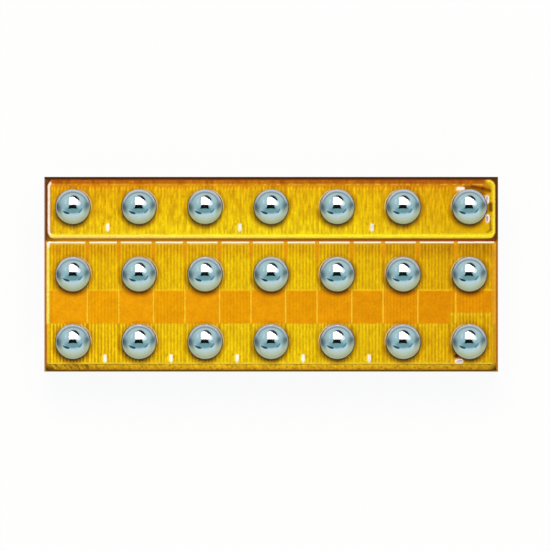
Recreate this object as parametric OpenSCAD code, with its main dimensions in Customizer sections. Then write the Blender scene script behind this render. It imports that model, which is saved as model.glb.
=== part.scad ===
// Transistor array: two lateral power transistors on one bare silicon die, bumped with solder balls.
// The upper transistor has one row of balls and the lower one has two.
// Millimetres. Origin at the centre of the back face, X along the long side, Z out of the bumped face.

/* [Die] */
// Length of the sawn die along X
die_length = 3.434; // [3.1:0.002:3.8]
// Width of the sawn die along Y
die_width = 1.474; // [1.34:0.002:1.62]
// Thickness of the silicon
silicon_thickness = 0.6; // [0.3:0.01:0.7]
// Width of the ledge that the saw leaves round the top
ledge_width = 0.014; // [0.01:0.001:0.018]
// Depth of that ledge
ledge_depth = 0.03; // [0.01:0.005:0.1]

/* [Ball grid] */
// Centre of an end ball from the die's edge, along X
ball_edge_x = 0.217; // [0.208:0.001:0.24]
// Centre of an outer ball from the die's edge, along Y
ball_edge_y = 0.227; // [0.22:0.001:0.25]
// Diameter of a ball
ball_diameter = 0.27; // [0.24:0.002:0.29]
// Height of a ball above its pad
ball_height = 0.077; // [0.07:0.001:0.09]
// Height of a ball's widest ring above its pad
ball_waist = 0.012; // [0.008:0.001:0.015]
// Radius of a ball's flank, where its crown turns down to the pad
flank_radius = 0.02; // [0.017:0.001:0.024]
// Thickness of the pad under a ball
pad_thickness = 0.006; // [0.003:0.001:0.01]
// Clear ring round a pad where the film stays flat
pad_clearance = 0.003; // [0.001:0.001:0.006]

/* [Films] */
// Thickness of the nitride film that carries both transistors
nitride_thickness = 0.006; // [0.003:0.001:0.01]
// Thickness of the electrode metal and of the dielectric between
metal_thickness = 0.004; // [0.002:0.001:0.008]
// Thickness of the passivation film over the electrodes
film_thickness = 0.006; // [0.004:0.001:0.012]
// Height of a ridge where the film runs over a finger
ridge_height = 0.003; // [0.001:0.0005:0.005]

/* [Cells] */
// Bare nitride between the ledge and the films, on three sides
cell_margin = 0.005; // [0.003:0.001:0.007]
// Bare nitride left along the lower edge
street_band = 0.043; // [0.03:0.001:0.05]
// Corner radius of the upper cell
upper_corner = 0.042; // [0.036:0.001:0.05]
// Corner radius of the lower cell
lower_corner = 0.012; // [0.006:0.001:0.016]
// Width of the moat between both cells
moat_width = 0.021; // [0.015:0.001:0.027]
// Middle of the moat above the halfway line between the upper two rows of balls
moat_rise = 0.0045; // [0.002:0.0005:0.007]
// Width of the bead round the upper cell
bead_width = 0.032; // [0.026:0.001:0.034]
// Height of that bead above the film
bead_height = 0.008; // [0.004:0.001:0.012]
// Upper edge of the lower cell's plain band, below the centre of the middle balls
band_below_ball = 0.119; // [0.11:0.001:0.13]
// Lower edge of that band, above the centre of the lowest balls
band_above_ball = 0.134; // [0.128:0.001:0.14]
// Extra length of the stripes round the lower gate ball
gate_stripe = 0.083; // [0.05:0.001:0.1]

/* [Fingers] */
// Fingers under a column of balls
fingers_at_ball = 10; // [8:2:12]
// Fingers between two columns of balls
fingers_between = 9; // [7:2:11]
// Middle of a finger column from the centre of its ball
column_offset = -0.022; // [-0.024:0.001:-0.01]
// Share of the finger pitch that is metal
finger_share = 0.5; // [0.4:0.05:0.55]
// Width of the gate line between source and drain
gate_width = 0.004; // [0.002:0.001:0.005]
// Width of the bus that joins a row of fingers
bus_width = 0.02; // [0.014:0.001:0.024]
// Room between a finger's tip and the opposite bus
tip_gap = 0.018; // [0.014:0.001:0.022]
// Bare dielectric outside the electrodes
electrode_margin = 0.01; // [0.008:0.001:0.012]
// Share of the room left of the first finger that the lower source's strap takes
strap_share = 0.34; // [0.2:0.02:0.4]
// Where the gate line stands in that room, as a share of it
gate_share = 0.6; // [0.55:0.01:0.65]
// Where the drain's bus begins in that room, as a share of it
drain_share = 0.87; // [0.82:0.01:0.95]
// Half size of the plain land round a gate ball
gate_land = 0.165; // [0.15:0.001:0.17]
// Finger pitches left free before that land
land_gap = 2; // [1:1:3]
// Length of the stems that join a pad to its fingers
stem_length = 0.06; // [0.04:0.002:0.08]
// Share of a finger's width that a stem takes
stem_share = 0.6; // [0.4:0.05:0.8]
// Share of the pad's radius in which stems stand
stem_reach_share = 0.75; // [0.6:0.05:0.85]

/* [Ribs and marks] */
// Width of the rib between two finger columns
rib_width = 0.009; // [0.006:0.001:0.012]
// Finger pitches by which the last rib stands further right
last_rib_shift = 2; // [0:1:2]
// Height of a rib, also of the rib along the left edge
rib_height = 0.005; // [0.002:0.001:0.008]
// Width of a bright bar along the lower cell's upper edge
bar_width = 0.013; // [0.009:0.001:0.015]
// Height of a bright bar
bar_height = 0.005; // [0.003:0.001:0.006]
// Break between two bars
bar_break = 0.03; // [0.02:0.001:0.036]
// Length of an oval probe mark
mark_length = 0.05; // [0.04:0.001:0.056]
// Width of an oval probe mark
mark_width = 0.016; // [0.012:0.001:0.02]
// Thickness of a probe mark
mark_thickness = 0.004; // [0.002:0.001:0.006]
// Upper marks, right of the halfway line between two balls
upper_mark_shift = 0.014; // [0.006:0.001:0.02]
// Upper marks, above the cell's lower edge
upper_mark_rise = 0.084; // [0.07:0.001:0.1]
// Lower marks, left of the halfway line between two balls
lower_mark_shift = 0.007; // [0.002:0.001:0.012]
// Lower marks, above the cell's lower edge
lower_mark_rise = 0.044; // [0.04:0.001:0.06]
// Upper gate ball's lying mark, left of the ball's centre
gate_mark_shift = 0.066; // [0.05:0.001:0.08]
// Upper gate ball's lying mark, below the cell's upper edge
gate_mark_drop = 0.072; // [0.06:0.001:0.076]
// Upper gate ball's side marks: height above its centre, share of the room from its pad to the bead
gate_side_marks = [[0.056, 0.35], [-0.088, 0.58]];
// Lower gate ball's lying mark, left of the ball's centre
foot_mark_shift = 0.078; // [0.06:0.001:0.09]
// Lower gate ball's lying mark, above the cell's lower edge
foot_mark_rise = 0.022; // [0.018:0.001:0.026]

/* [Hidden] */
$fn = 48;
row_names = ["a", "b", "c"];
column_count = 7;
row_count = len(row_names);
ball_pitch = (die_length - 2 * ball_edge_x) / (column_count - 1);
row_pitch = (die_width - 2 * ball_edge_y) / (row_count - 1);
ball_x = [for (k = [0 : column_count - 1]) (k - (column_count - 1) / 2) * ball_pitch];
row_y = [for (r = [0 : row_count - 1]) ((row_count - 1) / 2 - r) * row_pitch];

// Heights of the top of each layer
z_silicon = silicon_thickness;
z_nitride = z_silicon + nitride_thickness;
z_metal = z_nitride + metal_thickness;
z_film = z_metal + film_thickness;
z_pad = z_film + pad_thickness;

// Outlines of the films
nitride_x = die_length / 2 - ledge_width;
nitride_y = die_width / 2 - ledge_width;
cell_x = nitride_x - cell_margin;
upper_top = nitride_y - cell_margin;
upper_bottom = (row_y[0] + row_y[1]) / 2 + moat_rise + moat_width / 2;
lower_top = upper_bottom - moat_width;
lower_bottom = street_band - nitride_y;
band_top = row_y[1] - band_below_ball;
band_bottom = row_y[2] + band_above_ball;

// A ball's crown is a wide arc that runs into its flank without a corner; it wets the whole of its pad
flank_x = ball_diameter / 2 - flank_radius;
dome = ball_height - ball_waist;
crown_radius = (flank_x * flank_x + dome * dome - flank_radius * flank_radius) / (2 * (dome - flank_radius));
crown_end = crown_radius * flank_x / (crown_radius - flank_radius);
pad_radius = flank_x + sqrt(flank_radius * flank_radius - ball_waist * ball_waist);

// Fingers stand at one pitch in a column and at one and a half across the gap between two columns
finger_pitch = ball_pitch / (fingers_at_ball + fingers_between + 1);
finger_width = finger_share * finger_pitch;
function row_of_fingers(middle, count) = [
  for (i = [0 : count - 1])
    middle + (i - (count - 1) / 2) * finger_pitch
];
finger_limit = cell_x - bead_width - finger_width / 2;
finger_x = [
  for (k = [0 : column_count - 1])
    each concat(
      row_of_fingers(ball_x[k] + column_offset, fingers_at_ball),
      [
        for (x = row_of_fingers(ball_x[k] + column_offset + ball_pitch / 2, fingers_between))
          if (x < finger_limit) x
      ]
    )
];
ball_column_half = (fingers_at_ball + 0.5) / 2 * finger_pitch;
rib_x = [
  for (k = [0 : column_count - 2])
    let (shift = k == column_count - 2 ? last_rib_shift * finger_pitch : 0)
      each [
        ball_x[k] + column_offset + ball_column_half,
        ball_x[k + 1] + column_offset - ball_column_half + shift
      ]
];

// Places of the electrodes: even fingers are source and odd ones drain, in whole pairs before a gate's land
first_finger = finger_x[0];
gate_ball_x = ball_x[column_count - 1];
before_land = [for (x = finger_x) if (x < gate_ball_x - gate_land - land_gap * finger_pitch) x];
upper_fingers = [for (i = [0 : 2 * floor(len(before_land) / 2) - 1]) before_land[i]];
source_low = upper_bottom + bead_width;
drain_high = upper_top - bead_width;
lower_source_high = lower_top - electrode_margin;
lower_source_low = lower_bottom + electrode_margin;
strap_left = electrode_margin - cell_x;
edge_room = first_finger - finger_width / 2 - strap_left;
strap_right = strap_left + strap_share * edge_room;
gate_left = strap_left + gate_share * edge_room;
drain_left = strap_left + drain_share * edge_room;
line_offset = bus_width + tip_gap / 2;
stem_width = stem_share * finger_width;
stem_reach = stem_reach_share * pad_radius;

// Places of the oval probe marks: the gate ball's side marks stand between its pad and the bead
function pad_half(rise) = sqrt(pad_radius * pad_radius - rise * rise);
upper_mark_places = [
  for (k = [0 : 2 : column_count - 2])
    [ball_x[k] + ball_pitch / 2 + upper_mark_shift, upper_bottom + upper_mark_rise]
];
lower_mark_places = [
  for (k = [0 : column_count - 3])
    [ball_x[k] + ball_pitch / 2 - lower_mark_shift, lower_bottom + lower_mark_rise]
];
gate_side_places = [
  for (mark = gate_side_marks)
    let (inner = gate_ball_x + pad_half(mark[0]), outer = cell_x - bead_width)
      [inner + mark[1] * (outer - inner), row_y[0] + mark[0]]
];
gate_top_place = [gate_ball_x - gate_mark_shift, upper_top - gate_mark_drop];
gate_foot_place = [gate_ball_x - foot_mark_shift, lower_bottom + foot_mark_rise];

// Outlines

module box_outline(x0, y0, x1, y1) {
  translate([x0, y0])
    square([x1 - x0, y1 - y0]);
}

// Rectangle with true arcs at its corners
module rounded_outline(x0, y0, x1, y1, r) {
  box_outline(x0 + r, y0, x1 - r, y1);
  box_outline(x0, y0 + r, x1, y1 - r);
  for (x = [x0 + r, x1 - r])
    for (y = [y0 + r, y1 - r])
      translate([x, y])
        circle(r);
}

module upper_outline() {
  rounded_outline(-cell_x, upper_bottom, cell_x, upper_top, upper_corner);
}

module lower_outline() {
  rounded_outline(-cell_x, lower_bottom, cell_x, lower_top, lower_corner);
}

// Oval with half-round ends, along Y
module oval(length, width) {
  square([width, length - width], center = true);
  for (side = [-1, 1])
    translate([0, side * (length - width) / 2])
      circle(width / 2);
}

// Part of a round bar that stands above a flat, width along X and height along Y
module round_back(width, height) {
  radius = (width * width / 4 + height * height) / (2 * height);
  intersection() {
    translate([0, height - radius])
      circle(radius);
    box_outline(-width, 0, width, 2 * height);
  }
}

// Comb outlines

function even(list) = [for (i = [0 : 2 : len(list) - 1]) list[i]];
function odd(list) = [for (i = [1 : 2 : len(list) - 1]) list[i]];
function reversed(list) = [for (i = [len(list) - 1 : -1 : 0]) list[i]];

// Points of fingers that leave a bus at height base and end at height tip, left to right
function teeth(xs, base, tip) = [
  for (x = xs)
    each [
      [x - finger_width / 2, base], [x - finger_width / 2, tip],
      [x + finger_width / 2, tip], [x + finger_width / 2, base]
    ]
];

// Upright runs of the gate line, one in each gap between two fingers, left to right
function gate_runs(xs, first, second) = [
  for (i = [0 : len(xs) - 2])
    let (x = (xs[i] + xs[i + 1]) / 2)
      each i % 2 == 0 ? [[x, first], [x, second]] : [[x, second], [x, first]]
];

// A line with square turns, given a width
function turn(from, to) = [-sign(to[1] - from[1]), sign(to[0] - from[0])];
function side_of(path, half) = [
  for (i = [0 : len(path) - 1])
    path[i]
      + half * (i > 0 ? turn(path[i - 1], path[i]) : [0, 0])
      + half * (i < len(path) - 1 ? turn(path[i], path[i + 1]) : [0, 0])
];
module ribbon(path) {
  polygon(concat(side_of(path, -gate_width / 2), reversed(side_of(path, gate_width / 2))));
}

// Electrodes

module upper_source_outline() {
  right = upper_fingers[len(upper_fingers) - 1] + finger_width;
  base = source_low + bus_width;
  polygon(concat(
    [[drain_left, source_low], [drain_left, base]],
    teeth(even(upper_fingers), base, drain_high - bus_width - tip_gap),
    [[right, base], [right, source_low]]
  ));
}

module upper_drain_outline() {
  right = upper_fingers[len(upper_fingers) - 1] + finger_width;
  base = drain_high - bus_width;
  polygon(concat(
    [[drain_left, drain_high], [drain_left, base]],
    teeth(odd(upper_fingers), base, source_low + bus_width + tip_gap),
    [[right, base], [right, drain_high]]
  ));
}

module upper_gate_outline() {
  runs = gate_runs(upper_fingers, drain_high - line_offset, source_low + line_offset);
  land_left = gate_ball_x - gate_land + finger_pitch;
  ribbon(concat([[gate_left, runs[0][1]]], runs, [[land_left + finger_pitch, runs[len(runs) - 1][1]]]));
  box_outline(land_left, source_low, gate_ball_x + pad_radius, drain_high);
}

module lower_source_outline() {
  right_low = upper_fingers[len(upper_fingers) - 1] + finger_width;
  right_high = finger_x[len(finger_x) - 1] + finger_width;
  base_high = lower_source_high - bus_width;
  base_low = lower_source_low + bus_width;
  polygon(concat(
    [[right_high, lower_source_high], [strap_left, lower_source_high]],
    [[strap_left, lower_source_low], [right_low, lower_source_low], [right_low, base_low]],
    reversed(teeth(even(upper_fingers), base_low, band_bottom - tip_gap)),
    [[strap_right, base_low], [strap_right, base_high]],
    teeth(even(finger_x), base_high, band_top + tip_gap),
    [[right_high, base_high]]
  ));
}

module lower_drain_outline() {
  right = finger_x[len(finger_x) - 1] + finger_width;
  polygon(concat(
    [[drain_left, band_bottom], [drain_left, band_top]],
    teeth(odd(finger_x), band_top, lower_source_high - bus_width - tip_gap),
    [[right, band_top], [right, band_bottom]],
    reversed(teeth(odd(upper_fingers), band_bottom, lower_source_low + bus_width + tip_gap))
  ));
}

module lower_gate_outline() {
  runs_high = gate_runs(finger_x, band_top + tip_gap / 2, lower_source_high - line_offset);
  runs_low = gate_runs(upper_fingers, band_bottom - tip_gap / 2, lower_source_low + line_offset);
  land_left = gate_ball_x - gate_land + finger_pitch;
  land_top = band_bottom - tip_gap;
  ribbon(concat(
    [[land_left + finger_pitch, runs_low[len(runs_low) - 1][1]]],
    reversed(runs_low),
    [[gate_left, runs_low[0][1]], [gate_left, runs_high[0][1]]],
    runs_high
  ));
  box_outline(land_left, lower_source_low, gate_ball_x + pad_radius, land_top);
}

module upper_source_comb() {
  color("Gold")
    translate([0, 0, z_nitride])
      linear_extrude(metal_thickness)
        upper_source_outline();
}

module upper_drain_comb() {
  color("Goldenrod")
    translate([0, 0, z_nitride])
      linear_extrude(metal_thickness)
        upper_drain_outline();
}

module upper_gate_line() {
  color("SlateGray")
    translate([0, 0, z_nitride])
      linear_extrude(metal_thickness)
        upper_gate_outline();
}

module lower_source_comb() {
  color("Gold")
    translate([0, 0, z_nitride])
      linear_extrude(metal_thickness)
        lower_source_outline();
}

module lower_drain_comb() {
  color("Goldenrod")
    translate([0, 0, z_nitride])
      linear_extrude(metal_thickness)
        lower_drain_outline();
}

module lower_gate_line() {
  color("SlateGray")
    translate([0, 0, z_nitride])
      linear_extrude(metal_thickness)
        lower_gate_outline();
}

// Dielectric fills all that the electrodes leave free in their layer

module upper_dielectric() {
  color("Peru")
    translate([0, 0, z_nitride])
      linear_extrude(metal_thickness)
        difference() {
          upper_outline();
          upper_source_outline();
          upper_drain_outline();
          upper_gate_outline();
        }
}

module lower_dielectric() {
  color("Peru")
    translate([0, 0, z_nitride])
      linear_extrude(metal_thickness)
        difference() {
          lower_outline();
          lower_source_outline();
          lower_drain_outline();
          lower_gate_outline();
        }
}

// Substrate and nitride

module silicon_substrate() {
  color("DimGray") {
    translate([0, 0, (z_silicon - ledge_depth) / 2])
      cube([die_length, die_width, z_silicon - ledge_depth], center = true);
    translate([0, 0, z_silicon - ledge_depth])
      linear_extrude(ledge_depth)
        box_outline(-nitride_x, -nitride_y, nitride_x, nitride_y);
  }
}

module nitride_film() {
  color("SaddleBrown")
    translate([0, 0, z_silicon])
      linear_extrude(nitride_thickness)
        box_outline(-nitride_x, -nitride_y, nitride_x, nitride_y);
}

// Pads reach through the film to their own electrode: drain and source by turns, gate at the right end

function is_gate(row, k) = k == column_count - 1 && row != 1;
function own_fingers(row, k) = [
  for (i = [k % 2 == 0 ? 1 : 0 : 2 : len(finger_x) - 1])
    if (abs(finger_x[i] - ball_x[k]) < stem_reach) finger_x[i]
];

module stems(row, k) {
  if (is_gate(row, k))
    translate([ball_x[k], row_y[row]])
      square(stem_length, center = true);
  else
    for (x = own_fingers(row, k))
      translate([x, row_y[row]])
        square([stem_width, stem_length], center = true);
}

module bump_pad(row, k) {
  color("Silver") {
    translate([ball_x[k], row_y[row], z_film])
      cylinder(pad_thickness, pad_radius, pad_radius);
    translate([0, 0, z_metal])
      linear_extrude(film_thickness)
        stems(row, k);
  }
}

// A ball is a reflowed dome, cut off flat where it sits on its pad
module ball_profile() {
  intersection() {
    translate([0, ball_height - crown_radius])
      circle(crown_radius);
    square([crown_end, ball_height]);
  }
  intersection() {
    translate([flank_x, ball_waist])
      circle(flank_radius);
    square([ball_diameter, ball_height]);
  }
}

module solder_ball(row, k) {
  color("LightSteelBlue")
    translate([ball_x[k], row_y[row], z_pad])
      rotate_extrude()
        ball_profile();
}

// Passivation: film with ridges over the fingers, kept flat under pads and marks

module pad_clearings(rows) {
  for (row = rows)
    for (k = [0 : column_count - 1])
      translate([ball_x[k], row_y[row]])
        circle(pad_radius + pad_clearance);
}

module upper_marks(extra) {
  for (place = concat(upper_mark_places, gate_side_places))
    translate(place)
      oval(mark_length + extra, mark_width + extra);
  translate(gate_top_place)
    rotate(90)
      oval(mark_length + extra, mark_width + extra);
}

module lower_marks(extra) {
  for (place = lower_mark_places)
    translate(place)
      oval(mark_length + extra, mark_width + extra);
  translate(gate_foot_place)
    rotate(90)
      oval(mark_length + extra, mark_width + extra);
}

module stripes(xs, y0, y1) {
  for (x = xs)
    box_outline(x - finger_width / 2, y0, x + finger_width / 2, y1);
}

module upper_bead() {
  inset = bead_width / 2;
  turn_radius = upper_corner - inset;
  for (y = [upper_bottom + inset, upper_top - inset])
    translate([upper_corner - cell_x, y, z_film])
      rotate([90, 0, 90])
        linear_extrude(2 * (cell_x - upper_corner))
          round_back(bead_width, bead_height);
  for (x = [inset - cell_x, cell_x - inset])
    translate([x, upper_top - upper_corner, z_film])
      rotate([90, 0, 0])
        linear_extrude(upper_top - upper_bottom - 2 * upper_corner)
          round_back(bead_width, bead_height);
  right = cell_x - upper_corner;
  top = upper_top - upper_corner;
  bottom = upper_bottom + upper_corner;
  for (corner = [[right, top, 0], [-right, top, 90], [-right, bottom, 180], [right, bottom, 270]])
    translate([corner[0], corner[1], z_film])
      rotate(corner[2])
        rotate_extrude(angle = 90)
          translate([turn_radius, 0])
            round_back(bead_width, bead_height);
}

module upper_passivation() {
  color("Orange") {
    translate([0, 0, z_metal])
      linear_extrude(film_thickness)
        difference() {
          upper_outline();
          for (k = [0 : column_count - 1])
            stems(0, k);
        }
    translate([0, 0, z_film])
      linear_extrude(ridge_height)
        difference() {
          stripes(upper_fingers, source_low, drain_high);
          pad_clearings([0]);
          upper_marks(2 * pad_clearance);
        }
    upper_bead();
  }
}

// Ribs between the finger columns, and a wider one along the left edge, down to the plain band's lower edge
module lower_ribs(top) {
  for (x = rib_x)
    translate([x, top, z_film])
      rotate([90, 0, 0])
        linear_extrude(top - band_bottom)
          round_back(rib_width, rib_height);
  translate([bar_width / 2 - cell_x, top, z_film])
    rotate([90, 0, 0])
      linear_extrude(top - band_bottom)
        round_back(bar_width, rib_height);
}

module lower_passivation() {
  bar_room = lower_top - bar_width - 2 * pad_clearance;
  gate_fingers = [for (x = finger_x) if (x > gate_ball_x + column_offset - ball_column_half) x];
  color("Orange") {
    translate([0, 0, z_metal])
      linear_extrude(film_thickness)
        difference() {
          lower_outline();
          for (row = [1, 2])
            for (k = [0 : column_count - 1])
              stems(row, k);
        }
    translate([0, 0, z_film])
      linear_extrude(ridge_height)
        difference() {
          union() {
            stripes(finger_x, band_top, bar_room);
            stripes(finger_x, lower_source_low, band_bottom);
            stripes(gate_fingers, band_bottom, band_bottom + gate_stripe);
          }
          pad_clearings([1, 2]);
          lower_marks(2 * pad_clearance);
        }
    difference() {
      lower_ribs(bar_room);
      translate([0, 0, z_film])
        linear_extrude(2 * rib_height)
          pad_clearings([1, 2]);
    }
  }
}

// Bright bars along the upper edge of the lower cell, broken at each rib
module lower_edge_bars() {
  ends = concat([lower_corner - cell_x - bar_break / 2], rib_x, [cell_x - lower_corner + bar_break / 2]);
  color("White")
    for (i = [0 : len(ends) - 2])
      translate([ends[i] + bar_break / 2, lower_top - bar_width / 2 - pad_clearance, z_film])
        rotate([90, 0, 90])
          linear_extrude(ends[i + 1] - ends[i] - bar_break)
            round_back(bar_width, bar_height);
}

module upper_probe_marks() {
  color("White")
    translate([0, 0, z_film])
      linear_extrude(mark_thickness)
        upper_marks(0);
}

module lower_probe_marks() {
  color("White")
    translate([0, 0, z_film])
      linear_extrude(mark_thickness)
        lower_marks(0);
}

silicon_substrate();
nitride_film();
upper_source_comb();
upper_drain_comb();
upper_gate_line();
upper_dielectric();
upper_passivation();
lower_source_comb();
lower_drain_comb();
lower_gate_line();
lower_dielectric();
lower_passivation();
lower_edge_bars();
upper_probe_marks();
lower_probe_marks();
for (r = [0 : row_count - 1])
  for (k = [0 : column_count - 1]) {
    bump_pad(r, k);
    solder_ball(r, k);
  }
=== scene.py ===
from functools import partial

import bpy
import numpy as np
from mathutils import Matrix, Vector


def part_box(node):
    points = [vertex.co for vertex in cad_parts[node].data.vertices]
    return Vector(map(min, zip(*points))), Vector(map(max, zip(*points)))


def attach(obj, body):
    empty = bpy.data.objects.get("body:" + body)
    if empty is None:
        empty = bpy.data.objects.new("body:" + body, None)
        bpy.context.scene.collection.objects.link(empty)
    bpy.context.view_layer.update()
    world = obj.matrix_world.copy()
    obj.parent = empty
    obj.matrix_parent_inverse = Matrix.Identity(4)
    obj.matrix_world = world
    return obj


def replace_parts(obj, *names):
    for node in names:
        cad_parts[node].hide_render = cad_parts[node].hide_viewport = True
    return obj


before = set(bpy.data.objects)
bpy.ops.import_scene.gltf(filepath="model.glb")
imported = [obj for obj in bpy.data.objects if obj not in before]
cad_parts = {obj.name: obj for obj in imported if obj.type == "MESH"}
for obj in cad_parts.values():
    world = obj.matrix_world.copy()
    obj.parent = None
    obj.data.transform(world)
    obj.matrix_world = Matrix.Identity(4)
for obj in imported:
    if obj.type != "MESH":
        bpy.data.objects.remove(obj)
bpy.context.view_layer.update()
mm = 0.001  # lengths below are in millimetres, and become metres when a mesh is written
hair = 1e-9  # keeps a division from zero
noiseSpan = (0.3, 0.7)  # nearly all values of a noise texture lie between these
sharpAngle = 50  # degrees; steeper edges of a mesh stay sharp
chance = np.random.default_rng(21)  # a fixed seed, so that every run gives the same die


# helpers for sizes, shapes and colours

def boxOf(node):  # low and high corner of a CAD node, in mm
    low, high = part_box(node)
    return np.array(low) / mm, np.array(high) / mm


def about(place, steps):  # both ends of a range that is given by steps from a place
    return [place + step for step in steps]


def smooth(low, high, value):  # S-curve: 0 below low, 1 above high
    t = np.clip((value - low) / (high - low), 0, 1)
    return t * t * (3 - 2 * t)


def fallOff(low, high, value):  # the same curve turned round: 1 below low, 0 above high
    return 1 - smooth(low, high, value)


def between(low, high, value, soft):  # 1 from low to high, with an S-curve as wide as 2 soft at both ends
    return smooth(low - soft, low + soft, value) * fallOff(high - soft, high + soft, value)


def roundBack(distance, width, height):  # arc of a bar that stands height above a flat, width across
    radius = (width ** 2 / 4 + height ** 2) / (2 * height)
    return np.clip(np.sqrt(np.clip(radius ** 2 - distance ** 2, 0, None)) - radius + height, 0, None)


def linear(hexColour):  # sRGB hex to linear red, green and blue
    srgb = np.array([int(hexColour[i:i + 2], 16) for i in (1, 3, 5)]) / 255
    return np.where(srgb <= 0.04045, srgb / 12.92, ((srgb + 0.055) / 1.055) ** 2.4)


def paint(colour, *coats):  # lays coats over colours: a hex colour or an array of them, and how much of it
    for tone, amount in coats:
        tone = linear(tone) if isinstance(tone, str) else tone
        colour = colour + (tone - colour) * np.asarray(amount)[..., None]
    return colour


def ramp(value, stops):  # colours along a value: straight runs between stops, each a place and a hex colour
    tones = np.array([linear(tone) for place, tone in stops])
    return np.stack([np.interp(value, [place for place, tone in stops], tones[:, i]) for i in range(3)], -1)


# one node: settings are its properties, inputs its values or links, by name or in the order of its open
# sockets; a node among them stands for its first open output, a hex string for a colour; stops fill a ramp
def addNode(tree, kind, inputs=(), stops=(), **settings):
    node = tree.nodes.new("ShaderNode" + kind)
    for key, value in settings.items():
        setattr(node, key, value)
    for i, (place, tone) in enumerate(stops):
        stop = node.color_ramp.elements[i] if i < 2 else node.color_ramp.elements.new(place)
        stop.position, stop.color = place, (*linear(tone), 1)
    sockets = [socket for socket in node.inputs if socket.enabled]
    if isinstance(inputs, dict):
        sockets = [node.inputs[key] for key in inputs]
        inputs = inputs.values()
    for socket, value in zip(sockets, inputs):
        if isinstance(value, bpy.types.Node):
            value = next(output for output in value.outputs if output.enabled)
        if isinstance(value, bpy.types.NodeSocket):
            tree.links.new(value, socket)
        else:
            socket.default_value = (*linear(value), 1) if isinstance(value, str) else value
    return node


def startMaterial(name):  # an empty material, and what adds nodes to it
    material = bpy.data.materials.new(name)
    material.use_nodes = True
    material.node_tree.nodes.clear()
    return material, partial(addNode, material.node_tree)


def startSurface(name):  # the same, and places on the object in mm
    material, add = startMaterial(name)
    spot = add("TexCoord").outputs["Object"]
    return material, add, add("VectorMath", [spot, 1 / mm], operation="SCALE")


def finishSurface(add, finish, height, shader):  # bump by a height, then shader and output
    bump = add("Bump", {"Height": height, "Distance": finish["bump"] * mm,
                        "Strength": finish["bumpStrength"]})
    add("OutputMaterial", [add("BsdfPrincipled", {**shader, "Normal": bump})])


def meshFrom(name, points, faceSets):  # points in mm, face sets as arrays with one face per line
    loops = np.concatenate([faces.ravel() for faces in faceSets])
    sizes = np.concatenate([np.full(len(faces), faces.shape[1]) for faces in faceSets])
    mesh = bpy.data.meshes.new(name)
    mesh.vertices.add(len(points))
    mesh.vertices.foreach_set("co", (points * mm).astype(np.float32).ravel())
    mesh.loops.add(len(loops))
    mesh.loops.foreach_set("vertex_index", loops.astype(np.int32))
    mesh.polygons.add(len(sizes))
    mesh.polygons.foreach_set("loop_start", (np.cumsum(sizes) - sizes).astype(np.int32))
    mesh.update(calc_edges=True)
    mesh.shade_smooth()
    mesh.set_sharp_from_angle(angle=np.radians(sharpAngle))
    return mesh


def startObject(mesh, material):  # an object in the scene, with one material
    mesh.materials.append(material)
    item = bpy.data.objects.new(mesh.name, mesh)
    bpy.context.scene.collection.objects.link(item)
    return item


def addStage(name, points, material):  # one flat face of the studio
    startObject(meshFrom(name, points, [np.arange(len(points))[None, :]]), material)


def addPiece(mesh, material, slotName, *stoodFor):  # a piece that stands for CAD nodes
    piece = startObject(mesh, material)
    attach(piece, "root")
    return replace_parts(piece, *stoodFor)


def dress(material, *names):  # gives CAD nodes a material
    for name in names:
        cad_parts[name].data.materials.clear()
        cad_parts[name].data.materials.append(material)


# sizes that the frame gives

columns = 7
ballNames = [row + str(column + 1) for row in "abc" for column in range(columns)]
ballBoxes = np.array([boxOf("solder_ball_" + name) for name in ballNames])
ballSpots = ballBoxes[:, :, :2].mean(axis=1)
ballRadius = (ballBoxes[0, 1, 0] - ballBoxes[0, 0, 0]) / 2
ballFoot, ballTop = ballBoxes[0, :, 2]
ballX = ballSpots[:columns, 0]
rowY = ballSpots[::columns, 1]
ballPitch = (ballX[-1] - ballX[0]) / (columns - 1)
padLow, padHigh = boxOf("bump_pad_a1")
padRadius = (padHigh[0] - padLow[0]) / 2
dieLow, dieHigh = boxOf("silicon_substrate")
upperLow, upperHigh = boxOf("upper_passivation")
lowerLow, lowerHigh = boxOf("lower_passivation")
barsLow, barsHigh = boxOf("lower_edge_bars")
filmBase, filmTop = upperLow[2], barsLow[2]
halfX = upperHigh[0]
gateX = ballX[-1]
print("die", dieHigh - dieLow, "ball pitch", ballPitch, "rows", rowY)

# a ball is a wide crown arc that runs into a narrow flank arc without a corner, with its waist at mid-flank
ballSet = dict(waist=0.012, flank=0.02, turns=72, crownRings=34, flankRings=14, waves=3, unevenness=0.002)
ballRise = ballTop - ballFoot - ballSet["waist"]
flankMiddle = ballRadius - ballSet["flank"]
crownRadius = (flankMiddle ** 2 + ballRise ** 2 - ballSet["flank"] ** 2) / (2 * (ballRise - ballSet["flank"]))
crownEnd = np.arcsin(flankMiddle / (crownRadius - ballSet["flank"]))
crownFoot = ballTop - crownRadius * (1 - np.cos(crownEnd))

# the finger pattern, as the CAD model has it; endGap, gateGap, ribGap and ribStep count finger pitches
fingerSet = dict(perBall=10, perGap=9, shift=-0.022, endGap=0.25, gateGap=2, ribGap=0.25, ribStep=2,
                 beadWidth=0.032, gateLand=0.165, bandTop=-0.119, bandBottom=-0.376, gateStripe=0.083,
                 edgeMargin=0.01, ribWidth=0.009, barWidth=0.013, clearance=0.003, padSoft=0.002,
                 gridLines=6, lively=(0.8, 0.4))
pitch = ballPitch / (fingerSet["perBall"] + fingerSet["perGap"] + 1)


def fingerRow(count):  # evenly spaced places about zero, one pitch apart
    return (np.arange(count) - (count - 1) / 2) * pitch


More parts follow.
